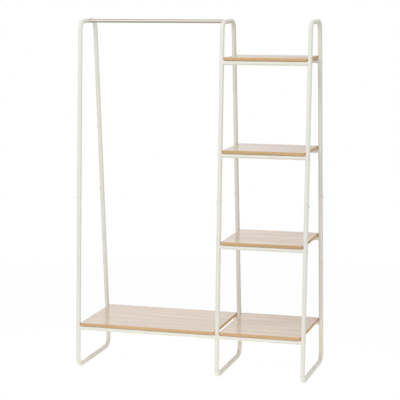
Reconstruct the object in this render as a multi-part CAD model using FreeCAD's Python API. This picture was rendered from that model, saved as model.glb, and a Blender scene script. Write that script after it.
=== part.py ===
import FreeCAD, Part
import math
import os

from FreeCAD import Vector

# A free-standing clothes rack of bent steel tube. Three closed loops stand in planes across the rack:
# left, middle and right. A rail for hangers joins the tops of the left and the middle loop, one wide
# shelf lies low in the hanging bay, and four shelves fill the narrow bay. Each loop comes apart at
# mid-height. Millimetres, +X to the right as seen from the front, -Y to the front, +Z up.
# The origin is on the floor, in the middle of the rack.

# Overall sizes
rack_height = 1500.0
hanging_bay = 625.5          # between the centres of the left and the middle loop
shelf_bay = 371.5            # between the centres of the middle and the right loop
foot_spread = 385.0          # between the leg centres, carried down to the level of the bottom tube
top_spread = 176.0           # the same at the level of the top tube
joint_drop = 22.25           # where a loop's halves meet: below the middle of the second and third levels

# Loop tube
tube_diameter = 19.0
tube_wall = 1.2
bend_radius = 38.0           # at the centre line
joint_line = 0.4             # open line between the two halves

# Sleeves inside the tube at the joints, and their screws
sleeve_fit = 0.1             # from the sleeve to the bore of the tube, all round
sleeve_wall = 2.5
sleeve_length = 90.0
joint_screw_drop = 9.0       # from the joint line down to the screw
joint_screw_diameter = 4.0
joint_screw_head = 7.5
joint_screw_head_height = 2.0
joint_screw_key = 2.5        # of its hexagonal socket, across the flats

# Shelf rails and the hanging rail
rail_diameter = 18.0
rail_wall = 1.2
hanging_rail_diameter = 16.0
hanging_rail_wall = 1.2
cope_gap = 0.15              # between the saddle cut of a rail's end and the tube that it meets

# Threaded plugs in the rails' ends, and the bolts that pull them against the loops
plug_fit = 0.1
plug_length = 22.0
plug_gap = 0.5               # from the plug's end to the crown of the tube
bolt_diameter = 6.0
bolt_length = 35.0           # with its countersunk head
bolt_head = 11.0
bolt_head_rim = 0.5          # straight edge of the head, above its cone
bolt_stand = 0.2             # from the crown of the tube up to the flat face of the head
seat_gap = 0.06              # between the cone of the head and its seat in the tube
bolt_key = 4.0               # of its hexagonal socket, across the flats
socket_depth = 0.6           # of a head's height
stud_length = 52.0
hole_play = 0.6              # a clearance hole is wider than its screw by this
thread_play = 0.1            # a threaded hole is wider than its screw by this
head_gap = 0.05              # under a raised head, to the crown of the tube

# Shelves
board_thickness = 13.0
board_corner = 10.0          # radius of the corners, seen from above
board_edge = 2.5             # radius of the edges
board_end_gap = 0.5          # from a board's end to the side of the leg
board_seat = 0.1             # from the board to the crown of its rails
rail_overhang = 9.0          # from the centre line of a rail to the board's edge
first_shelf_top = 200.5      # upper face of the two low shelves
top_shelf_drop = 153.0       # from the top of the rack down to the upper face of the top shelf
shelf_levels = 4

# Screws that hold the boards down, set inside the rails
board_screw_diameter = 4.0
board_screw_length = 12.0
board_screw_head = 8.0
board_screw_head_height = 2.4
access_hole = 12.0           # in the lower wall of the rail, for the screw and the driver
narrow_board_screw_inset = 72.0    # from the centre of the leg
wide_board_screw_inset = 120.0
pilot_depth = 11.0
slot_width = 1.0             # of the cross recess in a head
slot_length = 4.6
slot_depth = 1.2

# Places
tube_radius = tube_diameter / 2
left_x = -(hanging_bay + shelf_bay) / 2
middle_x = left_x + hanging_bay
right_x = middle_x + shelf_bay
bottom_z = tube_radius
top_z = rack_height - tube_radius
lean = math.atan2((foot_spread - top_spread) / 2, top_z - bottom_z)
frame_places = {"left": left_x, "middle": middle_x, "right": right_x}
# Heads face away from the shelves: to the left on the left and middle loops, to the right on the right one.
outer_side = {"left": -1, "middle": -1, "right": 1}


def shelf_top(level):
    """Upper face of a shelf. The levels are evenly spaced between the lowest and the highest."""
    highest = rack_height - top_shelf_drop
    return first_shelf_top + level * (highest - first_shelf_top) / (shelf_levels - 1)


def rail_level(level):
    """Height of the centre line of the rails under a shelf."""
    return shelf_top(level) - board_thickness - board_seat - rail_diameter / 2


joint_height = shelf_top(1.5) - joint_drop


def leg_half(z):
    """Distance of a leg's centre line from the rack's middle plane at height z."""
    return foot_spread / 2 - (z - bottom_z) * math.tan(lean)


def leg_direction(side):
    """Upward direction of the front leg (side -1) or the rear leg (side 1)."""
    return Vector(0, -side * math.sin(lean), math.cos(lean))


def ring(centre, direction, diameter, wall):
    """Flat ring, the section of a tube."""
    disc = Part.Face(Part.Wire(Part.makeCircle(diameter / 2, centre, direction)))
    bore = Part.Face(Part.Wire(Part.makeCircle(diameter / 2 - wall, centre, direction)))
    return disc.cut(bore).Faces[0]


def cylinder(diameter, start, end):
    return Part.makeCylinder(diameter / 2, (end - start).Length, start, end - start)


def straight_tube(start, end, diameter, wall):
    return cylinder(diameter, start, end).cut(cylinder(diameter - 2 * wall, start, end))


def bent_tube(corners, radius, diameter, wall):
    """Tube along straight runs, with an arc of the given radius at each inner corner."""
    start = corners[0]
    pieces = []
    for before, corner, after in zip(corners, corners[1:], corners[2:]):
        arriving = (corner - before).normalize()
        leaving = (after - corner).normalize()
        turn = arriving.getAngle(leaving)
        setback = radius * math.tan(turn / 2)
        arc_start = corner - arriving * setback
        pieces.append(ring(start, arriving, diameter, wall).extrude(arc_start - start))
        axis = arriving.cross(leaving).normalize()
        centre = arc_start + axis.cross(arriving) * radius
        section = ring(arc_start, arriving, diameter, wall)
        pieces.append(section.revolve(centre, axis, math.degrees(turn)))
        start = corner + leaving * setback
    last = corners[-1] - start
    pieces.append(ring(start, last, diameter, wall).extrude(last))
    return pieces[0].multiFuse(pieces[1:]).removeSplitter()


def frame_half(x, upper):
    """One half of a loop: a U that opens downward (upper) or upward (lower)."""
    level = top_z if upper else bottom_z
    rise = 1 if upper else -1
    half = leg_half(level)
    ends = []
    for side in (-1, 1):
        joint = Vector(x, side * leg_half(joint_height), joint_height)
        ends.append(joint + leg_direction(side) * (rise * joint_line / 2))
    corners = [ends[0], Vector(x, -half, level), Vector(x, half, level), ends[1]]
    return bent_tube(corners, bend_radius, tube_diameter, tube_wall)


def across(diameter, x, y, z, reach):
    """Cylinder along X through a tube at x, reaching past it on both sides."""
    return cylinder(diameter, Vector(x - reach, y, z), Vector(x + reach, y, z))


def save(name, shapes):
    """Writes one piece, or one group of like pieces, as a file of its own."""
    solids = [solid for shape in shapes for solid in shape.Solids]
    shape = solids[0] if len(solids) == 1 else Part.makeCompound(solids)
    shape.exportStep("parts/" + name + ".step")
    print(name, len(solids), "solids,", round(sum(s.Volume for s in solids)), "mm3,", shape.isValid())


# A shelf is a name, its level, the loops at its ends and how far its screws are from the legs.
shelves = [("wide_shelf", 0, "left", "middle", wide_board_screw_inset)]
for level, name in enumerate(("bottom_shelf", "second_shelf", "third_shelf", "top_shelf")[:shelf_levels]):
    shelves.append((name, level, "middle", "right", narrow_board_screw_inset))


# Levels at which rails meet the middle loop from both sides
shared_levels = sorted({level for name, level, start, end, inset in shelves if end == "middle"})
# The bolts of the hanging rail, with the side of the loop that their heads are on
hanging_bolts = (("left", -1), ("middle", 1))


def frame_levels(frame):
    """Levels at which rails meet this loop."""
    return sorted({level for name, level, start, end, inset in shelves if frame in (start, end)})


# Turned and drilled pieces
def hex_prism(start, direction, depth, key):
    """Hexagonal socket that is cut into a head."""
    corner = key / 2 / math.cos(math.radians(30))
    points = []
    for step in range(7):
        angle = math.radians(60 * step)
        points.append(start + Vector(0, corner * math.cos(angle), corner * math.sin(angle)))
    return Part.Face(Part.makePolygon(points)).extrude(direction * depth)


def bolt_cone(x, y, z, side, gap):
    """Head of a countersunk bolt, or with a gap the seat for it, on the given side of the tube at x."""
    outward = Vector(side, 0, 0)
    face = Vector(x, y, z) + outward * (tube_radius + bolt_stand)
    neck = face - outward * bolt_head_rim
    rim = cylinder(bolt_head + 2 * gap, neck, face + outward * gap)
    depth = (bolt_head - bolt_diameter) / 2
    cone = Part.makeCone(bolt_head / 2 + gap, bolt_diameter / 2 + gap, depth, neck, outward * -1)
    return rim.fuse(cone)


def bolt(x, y, z, side):
    """Countersunk bolt along X. Its head lies in the wall of the tube at x, on the given side."""
    outward = Vector(side, 0, 0)
    face = Vector(x, y, z) + outward * (tube_radius + bolt_stand)
    shank = cylinder(bolt_diameter, face - outward * bolt_length, face)
    head_height = bolt_head_rim + (bolt_head - bolt_diameter) / 2
    socket = hex_prism(face, outward * -1, head_height * socket_depth, bolt_key)
    return bolt_cone(x, y, z, side, 0).fuse(shank).removeSplitter().cut(socket)


def bolt_hole(x, y, z, side):
    """Hole of such a bolt, through both walls of the tube at x, with its seat on the given side."""
    return across(bolt_diameter + hole_play, x, y, z, tube_diameter).fuse(bolt_cone(x, y, z, side, seat_gap))


def joint_screw(x, y, z, side):
    """Button-head screw along X. Its head stands on the outside of the tube at x, on the given side."""
    outward = Vector(side, 0, 0)
    seat = Vector(x, y, z) + outward * (tube_radius + head_gap)
    crown = seat + outward * joint_screw_head_height
    cap = cylinder(joint_screw_head, seat, crown)
    rims = [edge for edge in cap.Edges if edge.Closed and abs(edge.CenterOfMass.x - crown.x) < 1e-6]
    cap = cap.makeFillet(joint_screw_head_height * 0.6, rims)
    socket = hex_prism(crown, outward * -1, joint_screw_head_height * socket_depth, joint_screw_key)
    length = tube_wall + sleeve_fit + sleeve_wall + head_gap
    shank = cylinder(joint_screw_diameter, seat - outward * length, seat)
    return cap.fuse(shank).removeSplitter().cut(socket)


def plug(x, y, z, side, bore):
    """Threaded plug in a rail's end, on the given side of the tube at x."""
    start = Vector(x + side * (tube_radius + plug_gap), y, z)
    end = start + Vector(side * plug_length, 0, 0)
    body = cylinder(bore - 2 * plug_fit, start, end)
    return body.cut(cylinder(bolt_diameter + thread_play, start, end))


def sleeve(x, side, outward):
    """Inner sleeve that carries a leg across its joint, tapped for the joint's screw."""
    middle = Vector(x, side * leg_half(joint_height), joint_height)
    along = leg_direction(side) * (sleeve_length / 2)
    outer = tube_diameter - 2 * tube_wall - 2 * sleeve_fit
    body = straight_tube(middle - along, middle + along, outer, sleeve_wall)
    place = joint_screw_place(side)
    hole = cylinder(joint_screw_diameter + thread_play, Vector(x, place.y, place.z),
                    Vector(x + outward * tube_diameter, place.y, place.z))
    return body.cut(hole)


def joint_screw_place(side):
    """Point on a leg's centre line where the joint's screw crosses it. Only its Y and Z are used."""
    joint = Vector(0, side * leg_half(joint_height), joint_height)
    return joint - leg_direction(side) * joint_screw_drop


def places_on_legs(levels):
    """Y and Z of the points on the front and the rear leg at the rails of these levels."""
    return [(side * leg_half(rail_level(level)), rail_level(level)) for level in levels for side in (-1, 1)]


def bolted_levels(frame):
    return [level for level in frame_levels(frame) if frame != "middle" or level not in shared_levels]


# Loops, with the holes for the bolts of the rails and the screws of the joints
def build_frames():
    for frame, x in frame_places.items():
        outward = outer_side[frame]
        holes = [bolt_hole(x, y, z, outward) for y, z in places_on_legs(bolted_levels(frame))]
        if frame == "middle":
            for y, z in places_on_legs(shared_levels):
                holes.append(across(bolt_diameter + hole_play, x, y, z, tube_diameter))
        for hung, side in hanging_bolts:
            if hung == frame:
                holes.append(bolt_hole(x, 0, top_z, side))
        for side in (-1, 1):
            place = joint_screw_place(side)
            holes.append(cylinder(joint_screw_diameter + hole_play, Vector(x, place.y, place.z),
                                  Vector(x + outward * tube_diameter, place.y, place.z)))
        drills = Part.makeCompound(holes)
        save(frame + "_frame_upper", [frame_half(x, True).cut(drills)])
        save(frame + "_frame_lower", [frame_half(x, False).cut(drills)])
        save(frame + "_frame_sleeves", [sleeve(x, side, outward) for side in (-1, 1)])
    build_joint_screws()


def build_joint_screws():
    screws = []
    for frame, x in frame_places.items():
        for side in (-1, 1):
            place = joint_screw_place(side)
            screws.append(joint_screw(x, place.y, place.z, outer_side[frame]))
    save("frame_joint_screws", screws)


# Shelf rails: their ends are cut as saddles to fit the legs, and each wall is drilled for its screws
def shelf_rail(level, start_x, end_x, side, inset):
    z = rail_level(level)
    y = side * leg_half(z)
    rail = straight_tube(Vector(start_x, y, z), Vector(end_x, y, z), rail_diameter, rail_wall)
    for x in (start_x, end_x):
        centre = Vector(x, y, z)
        along = leg_direction(side) * rail_diameter
        rail = rail.cut(cylinder(tube_diameter + 2 * cope_gap, centre - along, centre + along))
    for x in (start_x + inset, end_x - inset):
        centre = Vector(x, y, z)
        rail = rail.cut(cylinder(access_hole, centre - Vector(0, 0, rail_diameter), centre))
        rail = rail.cut(cylinder(board_screw_diameter + hole_play, centre, centre + Vector(0, 0, rail_diameter)))
    return rail


def board(level, start_x, end_x, inset):
    """Shelf board with rounded corners and edges, and blind holes below for its screws."""
    half_depth = leg_half(rail_level(level)) + rail_overhang
    margin = tube_radius + board_end_gap
    bottom = shelf_top(level) - board_thickness
    length = end_x - start_x - 2 * margin
    slab = Part.makeBox(length, 2 * half_depth, board_thickness, Vector(start_x + margin, -half_depth, bottom))
    uprights = [edge for edge in slab.Edges if abs(edge.tangentAt(edge.FirstParameter).z) > 0.9]
    slab = slab.makeFillet(board_corner, uprights)
    rims = [edge for edge in slab.Edges if edge.BoundBox.ZLength < 0.001]
    slab = slab.makeFillet(board_edge, rims)
    for x, y in screw_places(level, start_x, end_x, inset):
        slab = slab.cut(cylinder(board_screw_diameter + thread_play, Vector(x, y, bottom),
                                 Vector(x, y, bottom + pilot_depth)))
    return slab


def screw_places(level, start_x, end_x, inset):
    """Places of the four screws of a shelf, over the centre lines of its two rails."""
    y = leg_half(rail_level(level))
    return [(x, side * y) for side in (-1, 1) for x in (start_x + inset, end_x - inset)]


def board_screw(x, y, level):
    """Pan-head screw that stands inside the rail and goes up into the board."""
    bore = rail_diameter / 2 - rail_wall
    seat_drop = math.sqrt(bore ** 2 - (board_screw_head / 2) ** 2) - head_gap
    seat = Vector(x, y, rail_level(level) + seat_drop)
    up = Vector(0, 0, 1)
    foot = seat - up * board_screw_head_height
    head = cylinder(board_screw_head, foot, seat)
    rims = [edge for edge in head.Edges if edge.Closed and abs(edge.CenterOfMass.z - foot.z) < 1e-6]
    head = head.makeFillet(board_screw_head_height / 2, rims)
    for turned in (False, True):
        wide, narrow = (slot_length, slot_width) if turned else (slot_width, slot_length)
        head = head.cut(Part.makeBox(wide, narrow, slot_depth, foot - Vector(wide / 2, narrow / 2, 0)))
    return head.fuse(cylinder(board_screw_diameter, seat, seat + up * board_screw_length)).removeSplitter()


def build_shelves():
    bore = rail_diameter - 2 * rail_wall
    for name, level, start, end, inset in shelves:
        start_x, end_x = frame_places[start], frame_places[end]
        z = rail_level(level)
        y = leg_half(z)
        save(name + "_board", [board(level, start_x, end_x, inset)])
        save(name + "_front_rail", [shelf_rail(level, start_x, end_x, -1, inset)])
        save(name + "_rear_rail", [shelf_rail(level, start_x, end_x, 1, inset)])
        plugs = []
        for side in (-1, 1):
            plugs.append(plug(start_x, side * y, z, 1, bore))
            plugs.append(plug(end_x, side * y, z, -1, bore))
        save(name + "_rail_plugs", plugs)
        save(name + "_screws", [board_screw(x, y, level) for x, y in screw_places(level, start_x, end_x, inset)])


# Bolts of the shelf rails. At the middle loop the two low shelves share headless studs
def build_rail_bolts():
    for frame, x in frame_places.items():
        places = places_on_legs(bolted_levels(frame))
        save(frame + "_frame_bolts", [bolt(x, y, z, outer_side[frame]) for y, z in places])
    places = places_on_legs(shared_levels)
    save("middle_frame_studs", [across(bolt_diameter, middle_x, y, z, stud_length / 2) for y, z in places])


# Hanging rail between the tops of the left and the middle loop
def build_hanging_rail():
    bore = hanging_rail_diameter - 2 * hanging_rail_wall
    rail = straight_tube(Vector(left_x, 0, top_z), Vector(middle_x, 0, top_z),
                         hanging_rail_diameter, hanging_rail_wall)
    reach = Vector(0, hanging_rail_diameter, 0)
    for x in (left_x, middle_x):
        centre = Vector(x, 0, top_z)
        rail = rail.cut(cylinder(tube_diameter + 2 * cope_gap, centre - reach, centre + reach))
    save("hanging_rail", [rail])
    save("hanging_rail_plugs", [plug(left_x, 0, top_z, 1, bore), plug(middle_x, 0, top_z, -1, bore)])
    save("hanging_rail_bolts", [bolt(frame_places[frame], 0, top_z, side) for frame, side in hanging_bolts])


os.makedirs("parts", exist_ok=True)
build_frames()
build_shelves()
build_rail_bolts()
build_hanging_rail()
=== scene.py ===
# %% [markdown]
# # A clothes rack of cream steel tube, wood laminate and one plated rail
#
# The real object is a free-standing rack. Three closed loops of bent tube stand across it, rails join
# them, five laminated boards lie on the rails, and a plated rail for hangers runs along the top. The
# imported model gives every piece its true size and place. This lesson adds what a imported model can't
# hold: the light of a studio, the powder coat, the printed wood, the edge bands and the plating.
#
# The first step is always the same. The frame is loaded before anything is made, because every new
# piece takes its measures from it.

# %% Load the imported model
import math

import bmesh
import bpy
from mathutils import Matrix, Vector


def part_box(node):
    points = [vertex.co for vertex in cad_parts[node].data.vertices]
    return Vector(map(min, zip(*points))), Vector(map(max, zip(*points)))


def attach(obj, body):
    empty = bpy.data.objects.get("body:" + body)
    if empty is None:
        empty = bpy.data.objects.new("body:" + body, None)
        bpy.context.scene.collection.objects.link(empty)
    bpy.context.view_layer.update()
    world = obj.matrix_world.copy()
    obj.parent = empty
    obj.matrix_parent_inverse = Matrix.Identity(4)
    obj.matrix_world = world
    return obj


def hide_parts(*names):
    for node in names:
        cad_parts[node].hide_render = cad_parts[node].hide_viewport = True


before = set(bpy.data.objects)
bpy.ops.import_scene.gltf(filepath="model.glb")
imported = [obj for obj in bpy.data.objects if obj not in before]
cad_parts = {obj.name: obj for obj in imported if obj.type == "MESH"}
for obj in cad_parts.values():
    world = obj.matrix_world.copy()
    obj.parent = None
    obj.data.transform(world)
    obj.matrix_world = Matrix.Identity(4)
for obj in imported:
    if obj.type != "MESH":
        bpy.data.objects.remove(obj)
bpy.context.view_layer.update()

# %% [markdown]
# ## The camera
#
# The photograph was taken from a little to the right of the rack and from about the height of a
# standing person, looking slightly down, with a long lens. That keeps the upright tubes almost
# parallel. A camera can be aimed by a constraint, or by three turns in a row. The turns are used here,
# because each of them is a number that a photographer would know: how far the camera is swung to the
# side, how far it looks down, and how level it is held. A small vertical shift keeps the uprights from
# leaning together, as a shift lens does.

# %% Place the camera
camera_place = Vector((1.7333, -5.8189, 1.6825))
camera_swing = 0.2895        # radians, to the left of straight ahead
camera_dip = 0.18065         # radians, below level
camera_roll = 0.0047         # radians, clockwise
focal_pixels = 1430.6        # focal length in pixels of a picture that is 400 pixels wide
picture_width = 400
sensor_width = 36.0          # millimetres
lens_shift = 0.09            # as a share of the picture's width
seen_distance = 60.0         # metres

camera_data = bpy.data.cameras.new("camera")
camera_data.sensor_fit = "HORIZONTAL"
camera_data.sensor_width = sensor_width
camera_data.lens = focal_pixels / picture_width * sensor_width
camera_data.shift_y = lens_shift
camera_data.clip_end = seen_distance
camera = bpy.data.objects.new("camera", camera_data)
camera.matrix_world = (
    Matrix.Translation(camera_place)
    @ Matrix.Rotation(camera_swing, 4, "Z")
    @ Matrix.Rotation(math.pi / 2 - camera_dip, 4, "X")
    @ Matrix.Rotation(-camera_roll, 4, "Z")
)
bpy.context.scene.collection.objects.link(camera)
bpy.context.scene.camera = camera
print("lens:", round(camera_data.lens, 1), "mm")

# %% [markdown]
# ## Small helpers for node trees
#
# Materials are built from nodes. Written out in full, each node takes a line to make, a line for every
# value and a line for every join. A few short helpers keep that readable. The basic ones add a node,
# join two sockets, and feed a socket with either a plain value or another node's output. The others
# stand for the nodes that every finish needs: arithmetic, a change of range, and a mix of two numbers
# or two colours.

# %% Helpers: add, join and feed
def add_node(tree, kind, inputs=None, **settings):
    """Adds a node. Settings are its properties, and inputs are plain values for its sockets."""
    made = tree.nodes.new(kind)
    for name, value in settings.items():
        setattr(made, name, value)
    for name, value in (inputs or {}).items():
        made.inputs[name].default_value = value
    return made


def join(tree, source, target):
    tree.links.new(source, target)


def feed(tree, value, socket):
    """Fills a socket with a number or a colour of three numbers, or joins another socket to it."""
    if isinstance(value, tuple):
        socket.default_value = (*value, 1.0)
    elif isinstance(value, (int, float)):
        socket.default_value = value
    else:
        join(tree, value, socket)


# %% Helpers: arithmetic, ranges and mixes
mix_first, mix_second, mix_result = 6, 7, 2    # the Mix node's sockets for colours


def math_node(tree, operation, first, second):
    """Arithmetic on two values."""
    made = add_node(tree, "ShaderNodeMath", operation=operation)
    feed(tree, first, made.inputs[0])
    feed(tree, second, made.inputs[1])
    return made.outputs["Value"]


def remap(tree, value, span, results, **settings):
    """Turns a span of values into another one, and holds its two ends outside the span."""
    made = add_node(tree, "ShaderNodeMapRange", **settings)
    join(tree, value, made.inputs["Value"])
    for name, end in zip(("From Min", "From Max", "To Min", "To Max"), (*span, *results)):
        feed(tree, end, made.inputs[name])
    return made.outputs["Result"]


def mix_numbers(tree, factor, first, second):
    made = add_node(tree, "ShaderNodeMix", data_type="FLOAT")
    for name, value in (("Factor", factor), ("A", first), ("B", second)):
        feed(tree, value, made.inputs[name])
    return made.outputs["Result"]


def mix_colours(tree, factor, first, second):
    made = add_node(tree, "ShaderNodeMix", data_type="RGBA")
    for socket, value in (("Factor", factor), (mix_first, first), (mix_second, second)):
        feed(tree, value, made.inputs[socket])
    return made.outputs[mix_result]


# %% Helpers: materials and the kinds of rays
def start_material(name, **values):
    """A new material and its Principled shader, with plain values set on the shader's own sockets."""
    material = bpy.data.materials.new(name)
    material.use_nodes = True
    shader = material.node_tree.nodes["Principled BSDF"]
    for socket, value in values.items():
        shader.inputs[socket.replace("_", " ")].default_value = value
    return material, material.node_tree, shader


def object_coordinates(tree):
    return add_node(tree, "ShaderNodeTexCoord").outputs["Object"]


def ray_kinds(tree):
    """Two masks: rays straight from the camera or through glass, and rays that a gloss sends out."""
    rays = add_node(tree, "ShaderNodeLightPath")
    straight = math_node(tree, "MAXIMUM", rays.outputs["Is Camera Ray"], rays.outputs["Is Transmission Ray"])
    return straight, rays.outputs["Is Glossy Ray"]


# %% [markdown]
# ## The studio
#
# The photograph shows the rack on pure white with hardly a shadow. More light would only bleach the
# rack, so the white comes from what the camera sees: the world and most of the floor answer camera
# rays with plain white, while the rack itself is lit at a modest level. Reflections see a studio. Its
# front is a bright wall of light up to a steep angle, and the ceiling is dark. The polished rail shows
# these as clear stripes. The paper behind the rack is bright, but less so near the horizon. The
# glossy boards show that: the upper ones are seen at the lowest angle, and yet they aren't the
# brightest. They also get darker to the right, where they mirror what is beside the paper.

# %% The white world
plain_white = (1.0, 1.0, 1.0)
world_light = 0.72           # how much the surroundings light the rack
white_seen = 1.0             # what the camera sees
bright_front = 1.12          # what reflections see in front of the rack,
behind_low = 0.70            # behind it near the horizon,
behind_high = 1.12           # behind it but higher,
ceiling = 0.24               # and above
beside_paper = 0.75          # the share of the light from behind that is left past the paper's edge

# Where one gives way to the next, in parts of a direction whose length is 1
paper_rise = (0.07, 0.19)    # up, from low to high paper
paper_edge = (-0.25, -0.19)  # to the right, from the paper to what is beside it
wall_turn = (-0.3, 0.3)      # backward, from the front to behind
ceiling_rise = (0.80, 0.92)  # up, from the walls to the ceiling

world = bpy.data.worlds.new("white room")
bpy.context.scene.world = world
world.use_nodes = True
tree = world.node_tree
direction = add_node(tree, "ShaderNodeSeparateXYZ")
join(tree, add_node(tree, "ShaderNodeTexCoord").outputs["Generated"], direction.inputs["Vector"])
paper = remap(tree, direction.outputs["Z"], paper_rise, (behind_low, behind_high))
paper_left = remap(tree, direction.outputs["X"], paper_edge, (1.0, beside_paper))
behind = math_node(tree, "MULTIPLY", paper, paper_left)
walls = remap(tree, direction.outputs["Y"], wall_turn, (bright_front, behind))
upward = remap(tree, direction.outputs["Z"], ceiling_rise, (0.0, 1.0))
room = mix_numbers(tree, upward, walls, ceiling)
straight, glossy = ray_kinds(tree)
strength = mix_numbers(tree, straight, mix_numbers(tree, glossy, world_light, room), white_seen)
feed(tree, plain_white, tree.nodes["Background"].inputs["Color"])
join(tree, strength, tree.nodes["Background"].inputs["Strength"])
print("world light:", world_light, "seen in reflections:", behind_low, "to", bright_front)

# %% [markdown]
# ## The floor
#
# A floor that is plain white to the camera would hide the rack's shadow. So near the rack a share of
# it stays ordinary pale paint, and that share shows the soft shadow. Further out nothing but white is
# left, so that no edge shows. The pool of light under the rack is a faint glow of the paint, strongest
# in the middle. It lights the feet and the undersides of the boards, as the white paper does.

# %% A white floor with a pool of light
floor_size = 14.0
floor_paint_white = 0.9      # the paint's own colour,
floor_rough = 0.9            # and its roughness
floor_white = 0.92           # the share of the floor near the rack that camera rays see as plain white
floor_mirrored = 0.42        # how bright the floor is in reflections
plain_span = (1.1, 2.6)      # from here the camera sees more white, and from here on nothing but white
pool_glow = 0.48             # extra light from the middle of the floor,
pool_reach = 1.8             # which has faded out here

floor_form = bmesh.new()
bmesh.ops.create_grid(floor_form, x_segments=1, y_segments=1, size=floor_size / 2)
floor_mesh = bpy.data.meshes.new("floor")
floor_form.to_mesh(floor_mesh)
floor_form.free()
floor = bpy.data.objects.new("floor", floor_mesh)
bpy.context.scene.collection.objects.link(floor)

floor_material, tree, floor_paint = start_material("white floor", Roughness=floor_rough)
feed(tree, (floor_paint_white,) * 3, floor_paint.inputs["Base Color"])
feed(tree, plain_white, floor_paint.inputs["Emission Color"])
distance = add_node(tree, "ShaderNodeVectorMath", operation="LENGTH")
join(tree, object_coordinates(tree), distance.inputs[0])
from_middle = distance.outputs["Value"]
glow = remap(tree, from_middle, (0.0, pool_reach), (pool_glow, 0.0), interpolation_type="SMOOTHSTEP")
join(tree, glow, floor_paint.inputs["Emission Strength"])

straight, glossy = ray_kinds(tree)
seen_white = math_node(tree, "MULTIPLY", straight, remap(tree, from_middle, plain_span, (floor_white, 1.0)))
bright_floor = add_node(tree, "ShaderNodeEmission")
feed(tree, plain_white, bright_floor.inputs["Color"])
join(tree, mix_numbers(tree, glossy, 1.0, floor_mirrored), bright_floor.inputs["Strength"])
floor_look = add_node(tree, "ShaderNodeMixShader")
join(tree, math_node(tree, "MAXIMUM", seen_white, glossy), floor_look.inputs["Fac"])
join(tree, floor_paint.outputs["BSDF"], floor_look.inputs[1])
join(tree, bright_floor.outputs["Emission"], floor_look.inputs[2])
join(tree, floor_look.outputs["Shader"], tree.nodes["Material Output"].inputs["Surface"])
floor.data.materials.append(floor_material)
print("floor:", floor_size, "m wide, pool of light out to", pool_reach, "m")

# %% [markdown]
# ## The lamp
#
# The tops of the boards and of the rails are the brightest parts, the front edges of the boards are
# well lit and their right ends are dark. So one large soft lamp hangs high in front of the rack, a
# little to the left, and the pale room and the white floor do the rest. The feet are bright, because
# the floor is. An area lamp is used, because its size is what makes a shadow soft. Reflections don't
# show it: on the thin polished rail it would be one white line, brighter than everything else.

# %% One large area lamp
rack_middle = Vector((0.0, 0.0, 0.75))
lamp_place = Vector((-0.3, -2.9, 3.7))
lamp_size = 2.4
lamp_power = 56.0            # watts

lamp_data = bpy.data.lights.new("key lamp", "AREA")
lamp_data.shape = "SQUARE"
lamp_data.size = lamp_size
lamp_data.energy = lamp_power
key_lamp = bpy.data.objects.new("key lamp", lamp_data)
key_lamp.location = lamp_place
key_lamp.rotation_euler = (rack_middle - lamp_place).to_track_quat("-Z", "Y").to_euler()
key_lamp.visible_glossy = False
bpy.context.scene.collection.objects.link(key_lamp)
print("lamp:", lamp_size, "m square,", lamp_power, "W")

# %% [markdown]
# ## Effects that several materials share
#
# An effect that more than one finish needs is built once, as a node group with named inputs and
# outputs, and placed in each material with its own values. The first is a soft mottle: no real
# surface has exactly one colour or one gloss, because films vary in thickness and hands leave traces.
# It could be painted by hand, but a noise in object coordinates needs no picture and has a true scale
# in metres.

# %% Node group: soft mottle
fine_per_broad = 9.0         # fine patches along a broad one


def start_group(name, inputs, outputs):
    """A shader node group. Inputs are (name, socket type, default), and outputs are names of values."""
    group = bpy.data.node_groups.new(name, "ShaderNodeTree")
    for socket, kind, value in inputs:
        made = group.interface.new_socket(name=socket, in_out="INPUT", socket_type=kind)
        if value is not None:
            made.default_value = value
    for socket in outputs:
        group.interface.new_socket(name=socket, in_out="OUTPUT", socket_type="NodeSocketFloat")
    return group, add_node(group, "NodeGroupInput"), add_node(group, "NodeGroupOutput")


mottle_group, entry, leave = start_group(
    "soft mottle",
    [("Vector", "NodeSocketVector", None), ("Patch size", "NodeSocketFloat", 0.04)],
    ["Broad", "Fine"],
)
broad_scale = math_node(mottle_group, "DIVIDE", 1.0, entry.outputs["Patch size"])
fine_scale = math_node(mottle_group, "MULTIPLY", broad_scale, fine_per_broad)
for output, scale, detail in (("Broad", broad_scale, 2.0), ("Fine", fine_scale, 3.0)):
    clouds = add_node(mottle_group, "ShaderNodeTexNoise", {"Detail": detail, "Roughness": 0.5})
    join(mottle_group, entry.outputs["Vector"], clouds.inputs["Vector"])
    join(mottle_group, scale, clouds.inputs["Scale"])
    join(mottle_group, clouds.outputs["Fac"], leave.inputs[output])
print("group:", mottle_group.name, "with", len(mottle_group.nodes), "nodes")

# %% [markdown]
# The second group is the figure of wood. The boards are laminate, so the wood is a print: long pale
# and dark bands run along the board, with fine lines in them and short pores over them. The print
# could come from a picture. Here noise is stretched along the grain instead, which gives bands, lines
# and pores of real width and never repeats. The same group serves the faces and the edge bands.

# %% Node group: wood figure
wander_pattern = (2.2, 9.0)  # how the bands wander: features per metre, along the grain and across it
wander_width = 0.03          # and how far
pore_rise = (0.62, 0.74)     # the noise at which a pore begins, and at which it is full
wood_layers = (              # features per metre along the grain and across it, and detail
    ("Bands", (0.05, 1.0), 3.0),
    ("Lines", (3.0, 420.0), 4.0),
    ("Pores", (85.0, 2300.0), 1.0),
)


def stretched(tree, vector, pattern):
    """The coordinates scaled for a pattern: features per metre along the grain and across it."""
    along, across = pattern
    scaled = add_node(tree, "ShaderNodeVectorMath", operation="MULTIPLY")
    scaled.inputs[1].default_value = (along, across, across)
    join(tree, vector, scaled.inputs[0])
    return scaled.outputs["Vector"]


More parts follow.
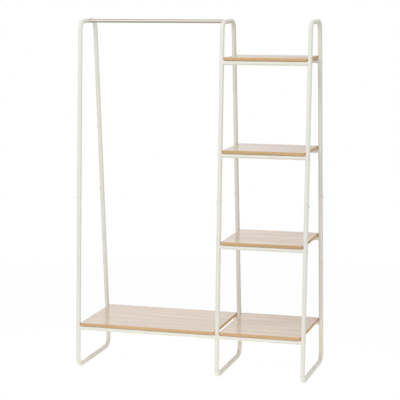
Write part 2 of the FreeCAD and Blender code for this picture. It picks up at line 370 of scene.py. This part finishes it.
wood_group, entry, leave = start_group(
    "wood figure",
    [("Vector", "NodeSocketVector", None), ("Band width", "NodeSocketFloat", 0.02)],
    ["Bands", "Lines", "Pores"],
)
drift = add_node(wood_group, "ShaderNodeTexNoise", {"Scale": 1.0, "Detail": 2.0})
join(wood_group, stretched(wood_group, entry.outputs["Vector"], wander_pattern), drift.inputs["Vector"])
wander = add_node(wood_group, "ShaderNodeVectorMath", operation="MULTIPLY")
wander.inputs[1].default_value = (0.0, wander_width, wander_width)
join(wood_group, drift.outputs["Color"], wander.inputs[0])
waved = add_node(wood_group, "ShaderNodeVectorMath", operation="ADD")
join(wood_group, entry.outputs["Vector"], waved.inputs[0])
join(wood_group, wander.outputs["Vector"], waved.inputs[1])
band_scale = math_node(wood_group, "DIVIDE", 1.0, entry.outputs["Band width"])
for output, pattern, detail in wood_layers:
    layer = add_node(wood_group, "ShaderNodeTexNoise", {"Detail": detail, "Roughness": 0.55})
    join(wood_group, stretched(wood_group, waved.outputs["Vector"], pattern), layer.inputs["Vector"])
    feed(wood_group, band_scale if output == "Bands" else 1.0, layer.inputs["Scale"])
    figure = layer.outputs["Fac"]
    if output == "Pores":
        figure = remap(wood_group, figure, pore_rise, (0.0, 1.0))
    join(wood_group, figure, leave.inputs[output])
print("group:", wood_group.name, "with", len(wood_group.nodes), "nodes")

# %% [markdown]
# ## The cream powder coat
#
# The loops and the shelf rails are coated with powder that melts in an oven. It leaves a tough, half
# glossy skin with a very fine unevenness, like the peel of an orange, about a millimetre from one
# dimple to the next. A plain glossy paint would look like plastic. The dimples are a bump from noise, a
# broad mottle changes the tone a little, and a fine one the gloss.

# %% Material: cream powder coat
noise_span = (0.3, 0.7)      # nearly all values of a noise lie between these
cream_tones = ((0.775, 0.765, 0.685), (0.80, 0.79, 0.715))
cream_rough = (0.28, 0.36)
cream_patch = 0.05
dimples_per_metre = 900.0
dimple_depth = 0.0001


def place_group(tree, group, where, values):
    """Places a node group, with coordinates and its own plain values."""
    placed = add_node(tree, "ShaderNodeGroup", values, node_tree=group)
    join(tree, where, placed.inputs["Vector"])
    return placed


def add_relief(tree, shader, height, strength, depth, **settings):
    """Bends the shader's normal, as if the surface had this height."""
    bump = add_node(tree, "ShaderNodeBump", {"Strength": strength, "Distance": depth}, **settings)
    join(tree, height, bump.inputs["Height"])
    join(tree, bump.outputs["Normal"], shader.inputs["Normal"])


cream_paint, tree, shader = start_material("cream powder coat", Specular_IOR_Level=0.5)
where = object_coordinates(tree)
mottle = place_group(tree, mottle_group, where, {"Patch size": cream_patch})
tone = remap(tree, mottle.outputs["Broad"], noise_span, (0.0, 1.0))
join(tree, mix_colours(tree, tone, *cream_tones), shader.inputs["Base Color"])
join(tree, remap(tree, mottle.outputs["Fine"], noise_span, cream_rough), shader.inputs["Roughness"])
dimples = add_node(tree, "ShaderNodeTexNoise", {"Scale": dimples_per_metre, "Detail": 1.5})
join(tree, where, dimples.inputs["Vector"])
add_relief(tree, shader, dimples.outputs["Fac"], strength=0.35, depth=dimple_depth)
print("material:", cream_paint.name, "with", len(tree.nodes), "nodes")

# %% [markdown]
# ## The plated hanging rail
#
# Hangers slide on this rail, so it isn't painted. It is nickel plated steel, polished along its
# length. Bright metal shows mostly its surroundings, so its look comes from the shader's metal and a
# low roughness, with very fine drawn lines along the tube.

# %% Material: plated steel
plated_tones = ((0.83, 0.76, 0.68), (0.87, 0.80, 0.72))
plated_rough = (0.06, 0.12)
plated_patch = 0.06
drawn_pattern = (12.0, 2600.0)    # lines per metre, along the tube and across it
drawn_depth = 0.00005

plated, tree, shader = start_material("plated steel", Metallic=1.0)
where = object_coordinates(tree)
mottle = place_group(tree, mottle_group, where, {"Patch size": plated_patch})
tone = remap(tree, mottle.outputs["Broad"], noise_span, (0.0, 1.0))
join(tree, mix_colours(tree, tone, *plated_tones), shader.inputs["Base Color"])
lines = add_node(tree, "ShaderNodeTexNoise", {"Scale": 1.0, "Detail": 2.0})
join(tree, stretched(tree, where, drawn_pattern), lines.inputs["Vector"])
join(tree, remap(tree, lines.outputs["Fac"], noise_span, plated_rough), shader.inputs["Roughness"])
add_relief(tree, shader, lines.outputs["Fac"], strength=0.15, depth=drawn_depth)
print("material:", plated.name, "with", len(tree.nodes), "nodes")

# %% [markdown]
# ## Zinc and bare steel
#
# The small screws and the bolts of the hanging rail are zinc plated, which looks paler and cloudier
# than polished metal. The sleeves, plugs and studs inside the tubes are bare turned steel, a little
# darker, with a trace of oil. Both are metal shaders that differ in colour, gloss and the size of
# their mottle.

# %% Materials: zinc and bare steel
metal_tone_span = (0.35, 0.65)
metal_depth = 0.00005


def metal_finish(name, tones, rough, patch):
    """A metal with a mottled tone and gloss."""
    material, tree, shader = start_material(name, Metallic=1.0)
    mottle = place_group(tree, mottle_group, object_coordinates(tree), {"Patch size": patch})
    tone = remap(tree, mottle.outputs["Fine"], metal_tone_span, (0.0, 1.0))
    join(tree, mix_colours(tree, tone, *tones), shader.inputs["Base Color"])
    join(tree, remap(tree, mottle.outputs["Broad"], noise_span, rough), shader.inputs["Roughness"])
    add_relief(tree, shader, mottle.outputs["Fine"], strength=0.2, depth=metal_depth)
    print("material:", material.name, "with", len(tree.nodes), "nodes")
    return material


zinc = metal_finish(
    "zinc plating", tones=((0.78, 0.78, 0.77), (0.88, 0.88, 0.86)), rough=(0.30, 0.42), patch=0.006
)
bare_steel = metal_finish(
    "turned steel", tones=((0.34, 0.34, 0.34), (0.45, 0.44, 0.42)), rough=(0.35, 0.5), patch=0.012
)

# %% [markdown]
# ## The printed laminate and the edge band
#
# The faces of the boards carry a pale wood print under a hard film with some gloss. Seen at a low
# angle that film reflects the white room, which is why the boards look pinkish beige and grow paler
# from one shelf to the next. So the colour is written as it is when seen from straight above, a warm
# tan, and the shader's own reflection does the rest. The tan shows where the boards throw light on
# the rear legs. The band round the rim has the same figure in a more golden tone and with less gloss.
# Its grain has to turn the corners. It could follow a map of its own, but on a rim with straight sides
# the sum of X and Y is enough, because it runs along every side without a break.

# %% Materials: printed laminate and edge band
band_width = 0.024           # metres, for one band of the print
band_span = (0.36, 0.64)     # the noise at which a band is quite pale, and at which it is quite dark
band_weight, line_weight, pore_weight = 0.7, 0.3, 0.55
pore_depth = 0.00008


def rim_coordinates(tree, where):
    """Coordinates for a band round a board: its X runs along the rim, and its Y across it."""
    parts = add_node(tree, "ShaderNodeSeparateXYZ")
    join(tree, where, parts.inputs["Vector"])
    made = add_node(tree, "ShaderNodeCombineXYZ")
    join(tree, math_node(tree, "ADD", parts.outputs["X"], parts.outputs["Y"]), made.inputs["X"])
    join(tree, parts.outputs["Z"], made.inputs["Y"])
    return made.outputs["Vector"]


def wood_finish(name, pale, dark, pore, rough, around=False):
    """Printed wood. Its grain runs along X, or around the board's rim for an edge band."""
    material, tree, shader = start_material(name, IOR=1.5)
    where = object_coordinates(tree)
    if around:
        where = rim_coordinates(tree, where)
    wood = place_group(tree, wood_group, where, {"Band width": band_width})
    bands = math_node(
        tree, "MULTIPLY", remap(tree, wood.outputs["Bands"], band_span, (0.0, 1.0)), band_weight
    )
    lines = math_node(
        tree, "MULTIPLY", remap(tree, wood.outputs["Lines"], noise_span, (0.0, 1.0)), line_weight
    )
    figure = mix_colours(tree, math_node(tree, "ADD", bands, lines), pale, dark)
    pores = math_node(tree, "MULTIPLY", wood.outputs["Pores"], pore_weight)
    join(tree, mix_colours(tree, pores, figure, pore), shader.inputs["Base Color"])
    join(tree, remap(tree, wood.outputs["Lines"], noise_span, rough), shader.inputs["Roughness"])
    add_relief(tree, shader, wood.outputs["Pores"], strength=0.25, depth=pore_depth, invert=True)
    print("material:", material.name, "with", len(tree.nodes), "nodes")
    return material


laminate = wood_finish(
    "printed laminate",
    pale=(0.78, 0.63, 0.51), dark=(0.595, 0.455, 0.35), pore=(0.46, 0.335, 0.245), rough=(0.13, 0.21),
)
edge_band = wood_finish(
    "edge band",
    pale=(0.66, 0.43, 0.22), dark=(0.53, 0.335, 0.155), pore=(0.39, 0.235, 0.10), rough=(0.34, 0.46),
    around=True,
)

# %% [markdown]
# ## The boards
#
# Each board is a pressed panel with the print on both faces, and a thick band glued round its rim and
# milled round. A packed board is one plain solid, so both are made again here. They could be cut from
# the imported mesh, but a slab is quicker to build new: a cube is scaled, its upright edges are bevelled
# into corners, and what is left differs for the two. The panel's rims get a tiny chamfer, so that a
# hairline joint shows between panel and band.

# %% Helpers for the slabs
board_corner = 0.010         # seen from above
corner_steps = 8
flat_enough = 0.99           # the part of a face's normal that points up or down
sharp_angle = 32             # degrees between two faces from which their edge looks sharp


def bevel_edges(form, edges, width, steps, **settings):
    bmesh.ops.bevel(
        form, geom=edges, offset=width, offset_type="OFFSET", affect="EDGES",
        segments=steps, profile=0.5, material=-1, **settings,
    )


def rounded_slab(low, high, corner):
    """A bmesh slab between two corners, with its four upright edges bevelled round."""
    form = bmesh.new()
    bmesh.ops.create_cube(form, size=1.0)
    bmesh.ops.scale(form, vec=high - low, verts=form.verts)
    bmesh.ops.translate(form, vec=(low + high) / 2, verts=form.verts)
    upright = [edge for edge in form.edges if edge.verts[0].co.xy == edge.verts[1].co.xy]
    bevel_edges(form, upright, corner, corner_steps)
    form.normal_update()
    return form


def is_flat(face):
    return abs(face.normal.z) > flat_enough


def rim_edges(form):
    """Edges between a side and a flat face."""
    whole = [edge for edge in form.edges if len(edge.link_faces) == 2]
    return [edge for edge in whole if is_flat(edge.link_faces[0]) != is_flat(edge.link_faces[1])]


def finish_piece(name, form, material, node):
    """Makes the object of a finished form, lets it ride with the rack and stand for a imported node."""
    bmesh.ops.recalc_face_normals(form, faces=form.faces)
    mesh = bpy.data.meshes.new(name)
    form.to_mesh(mesh)
    form.free()
    mesh.materials.append(material)
    mesh.shade_smooth()
    mesh.set_sharp_from_angle(angle=math.radians(sharp_angle))
    piece = bpy.data.objects.new(name, mesh)
    bpy.context.scene.collection.objects.link(piece)
    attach(piece, "root")
    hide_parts(node)
    return piece


# %% [markdown]
# The panel is a slab that is smaller all round by the band and the joint. The band starts as a slab of
# the whole board. Insetting its upper and lower faces marks the band's thickness, and with the middles
# removed and the openings bridged, a ring is left. A solid with a hole could be cut by a Boolean, but
# the ring keeps clean faces. Only its outer rims are milled round, so those are picked out by asking
# which sides face away from the board's middle.

# %% Build the panels and the edge bands
band_thickness = 0.0026
band_rounding = 0.0025
rounding_steps = 5
joint_gap = 0.00005          # between panel and band
joint_chamfer = 0.0002


def build_panel(shelf, low, high):
    inward = Vector((band_thickness + joint_gap, band_thickness + joint_gap, 0.0))
    form = rounded_slab(low + inward, high - inward, board_corner - inward.x)
    bevel_edges(form, rim_edges(form), joint_chamfer, steps=1, clamp_overlap=True)
    return finish_piece(shelf + "_panel", form, laminate, shelf + "_board")


def faces_out(edge, middle):
    """Whether the side face at a rim edge looks away from the middle of the board."""
    side = next(face for face in edge.link_faces if not is_flat(face))
    away = (edge.verts[0].co + edge.verts[1].co) / 2 - middle
    return side.normal.xy.dot(away.xy) > 0


def build_band(shelf, low, high):
    form = rounded_slab(low, high, board_corner)
    middles = [face for face in form.faces if is_flat(face)]
    bmesh.ops.inset_region(form, faces=middles, thickness=band_thickness, use_even_offset=True)
    openings = [edge for edge in form.edges if sum(face in middles for face in edge.link_faces) == 1]
    bmesh.ops.delete(form, geom=middles, context="FACES")
    bmesh.ops.bridge_loops(form, edges=openings)
    form.normal_update()
    middle = (low + high) / 2
    outer = [edge for edge in rim_edges(form) if faces_out(edge, middle)]
    bevel_edges(form, outer, band_rounding, rounding_steps, clamp_overlap=True)
    return finish_piece(shelf + "_edge_band", form, edge_band, shelf + "_board")


shelves = ("wide_shelf", "bottom_shelf", "second_shelf", "third_shelf", "top_shelf")
for shelf in shelves:
    low, high = (Vector(corner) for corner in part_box(shelf + "_board"))
    panel = build_panel(shelf, low, high)
    band = build_band(shelf, low, high)
    print(shelf, "panel", len(panel.data.polygons), "faces, band", len(band.data.polygons), "faces")

# %% [markdown]
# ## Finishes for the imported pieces
#
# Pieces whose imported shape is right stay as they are, and only their material slots are filled. The
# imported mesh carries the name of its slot, so one small table is nearly enough. The exception is the
# countersunk bolts in the legs: the photograph shows no metal there, so their heads are coated like
# the loops.

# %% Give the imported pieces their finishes
finishes = {
    "cream_paint": cream_paint,
    "plated_rail": plated,
    "zinc": zinc,
    "bare_steel": bare_steel,
    "wood_laminate": laminate,
}
coated_bolts = ("left_frame_bolts", "middle_frame_bolts", "right_frame_bolts")
for node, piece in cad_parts.items():
    for place in piece.material_slots:
        place.material = cream_paint if node in coated_bolts else finishes[place.material.name]
print("finished:", len(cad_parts), "packed pieces,", len(coated_bolts), "of them coated bolts")

# %% [markdown]
# ## Colour settings
#
# The view transform is Standard, so that a colour renders as it is written.

# %% Finish
bpy.context.scene.view_settings.view_transform = "Standard"
